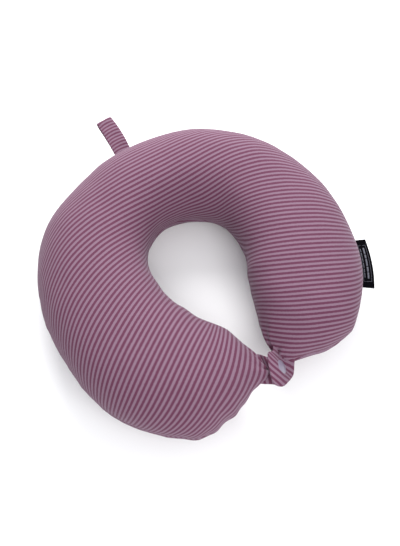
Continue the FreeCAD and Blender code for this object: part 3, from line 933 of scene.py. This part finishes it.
def label_marks(material):
    """A plain woven frame and rows of plain bars, in place of any wording."""
    # Each bar: where it starts and ends along the label, its distance from the seam, and its height.
    bars = [(-FRAME_END, FRAME_END, reach, FRAME_LINE) for reach in (FRAME_LOW, FRAME_HIGH)]
    for end in (-FRAME_END, FRAME_END):
        height = (FRAME_HIGH - FRAME_LOW) + FRAME_LINE
        bars.append((end - FRAME_LINE / 2, end + FRAME_LINE / 2, (FRAME_LOW + FRAME_HIGH) / 2, height))
    for reach, height, lengths in MARK_ROWS:
        start = -sum(lengths) / 2 - MARK_SPACE / 2 * (len(lengths) - 1)
        for length in lengths:
            bars.append((start, start + length, reach, height))
            start += length + MARK_SPACE
    vertices, faces = [], []
    for start, end, reach, height in bars:
        steps = max(2, int(end - start) + 1)
        along = np.linspace(start, end, steps)
        base = sum(len(v) for v in vertices)
        for level in MARK_LEVELS:
            for edge in (reach - height / 2, reach + height / 2):
                vertices.append(label_point(along, np.full(steps, edge), level))
        ring = (base, base + steps, base + 3 * steps, base + 2 * steps)
        for i in range(steps - 1):
            for p, q in zip(ring, ring[1:] + ring[:1]):
                faces.append((p + i, p + i + 1, q + i + 1, q + i))
        faces.append(ring)
        faces.append(tuple(p + steps - 1 for p in reversed(ring)))
    return mesh_piece("label_marks", np.concatenate(vertices), faces, material)


# ---------------------------------------------------------------- scene
def area_light(name, place, target, size, power):
    """A square lamp, in row frame metres."""
    data = bpy.data.lights.new(name, "AREA")
    data.shape = "SQUARE"
    data.size = size
    data.energy = power
    lamp = bpy.data.objects.new(name, data)
    lamp.location = Vector(place)
    lamp.rotation_euler = (Vector(target) - Vector(place)).to_track_quat("-Z", "Y").to_euler()
    bpy.context.scene.collection.objects.link(lamp)


def stage():
    """Plain pale floor, soft light and the camera."""
    floor_mesh = bpy.data.meshes.new("floor")
    size = 6.0
    corners = [(-size, -size, 0), (size, -size, 0), (size, size, 0), (-size, size, 0)]
    floor_mesh.from_pydata(corners, [], [(0, 1, 2, 3)])
    material, _, _ = principled("floor", Base_Color=(0.9, 0.9, 0.9, 1), Roughness=0.9)
    floor_mesh.materials.append(material)
    floor = bpy.data.objects.new("floor", floor_mesh)
    bpy.context.scene.collection.objects.link(floor)
    world = bpy.data.worlds.new("studio")
    world.use_nodes = True
    background = world.node_tree.nodes["Background"]
    background.inputs["Color"].default_value = (0.95, 0.97, 1.0, 1)
    background.inputs["Strength"].default_value = 0.9
    bpy.context.scene.world = world
    area_light("key", (0.33, 0.6, 0.5), (0, 0.05, 0.05), 0.6, 10.5)
    area_light("front", (-0.05, -0.55, 0.6), (0, 0.12, 0.04), 0.5, 3.6)
    bpy.context.scene.view_settings.view_transform = "Standard"

    azimuth, elevation = math.radians(CAMERA_AZIMUTH), math.radians(CAMERA_ELEVATION)
    level = math.cos(elevation)
    back = np.array([math.sin(azimuth) * level, -math.cos(azimuth) * level, math.sin(elevation)])
    data = bpy.data.cameras.new("camera")
    data.lens = CAMERA_LENS
    data.clip_start, data.clip_end = 0.01, 20
    camera = bpy.data.objects.new("camera", data)
    camera.location = Vector(to_row(CAMERA_TARGET + back * CAMERA_DISTANCE))
    camera.rotation_mode = "QUATERNION"
    camera.rotation_quaternion = (-Vector(back)).to_track_quat("-Z", "Y")
    bpy.context.scene.collection.objects.link(camera)
    bpy.context.scene.camera = camera


# ---------------------------------------------------------------- assembly
KNIT = striped_knit()
THREAD_DARK = thread_material("seam_thread", (0.09, 0.03, 0.055, 1))
THREAD_LIGHT = thread_material("stitching_thread", (0.16, 0.06, 0.105, 1))
SATIN = satin()
PLASTIC = plastic()
MARKS = thread_material("label_marks", (0.095, 0.095, 0.12, 1))

stage()
covers, ring_points, ring_normals, back_row = cover(KNIT)
threads = seams(ring_points, ring_normals, back_row, THREAD_DARK)

# Each half's panels and seam threads get their transforms baked, and its arm's CAD cover, liner, filling
# and seam nodes are hidden.
for side, mirror in (("left", -1), ("right", 1)):
    arm = side + "_arm"
    panels = [covers["upper", side], covers["lower", side]]
    lines = [threads["outer", side], threads["inner", side]]
    for piece in panels + lines:
        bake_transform(piece)
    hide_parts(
        arm + "_cover_upper", arm + "_liner_upper", arm + "_bead_fill", arm + "_closing_seam"
    )
    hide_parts(arm + "_cover_lower", arm + "_liner_lower")
    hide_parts(arm + "_outer_seam")
    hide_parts(arm + "_inner_seam")
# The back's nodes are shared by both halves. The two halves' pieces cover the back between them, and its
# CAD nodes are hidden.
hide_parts("back_cover_upper", "back_liner_upper", "back_bead_fill")
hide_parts("back_cover_lower", "back_liner_lower")
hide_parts("back_outer_seam")
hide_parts("back_inner_seam")

top_tab, top_front, top_normals, top_at = upper_tab(KNIT)
low_tab, low_front, low_normals, low_at = lower_tab(KNIT)
top_stitches = hem_stitches("upper_tab_stitching", top_front, top_normals, top_at, THREAD_LIGHT)
low_stitches = hem_stitches("lower_tab_stitching", low_front, low_normals, low_at, THREAD_LIGHT)
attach(top_stitches, "upper_tab")
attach(low_stitches, "lower_tab")
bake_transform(top_tab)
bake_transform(low_tab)
for tab, name, arm in ((top_tab, "upper_tab", "right_arm"), (low_tab, "lower_tab", "left_arm")):
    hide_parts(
        name + "_top_ply", name + "_interfacing", name + "_under_ply",
        arm + "_tab_root", arm + "_fold_thread",
    )
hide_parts("upper_tab_hem_stitches")
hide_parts("lower_tab_hem_stitches")

for node in ("snap_upper_cap", "snap_socket", "snap_stud", "snap_lower_cap"):
    snap_piece = frame["nodes"][node]
    snap_piece.data.materials.clear()
    snap_piece.data.materials.append(PLASTIC)

loop, loop_stitches = hang_loop(KNIT, THREAD_LIGHT)
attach(loop, "hang_loop")
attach(loop_stitches, "hang_loop")
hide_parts("hang_loop_strap")
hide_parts("hang_loop_stitches")

tag = label(SATIN)
tag_marks = label_marks(MARKS)
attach(tag, "label")
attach(tag_marks, "label")
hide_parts("label")
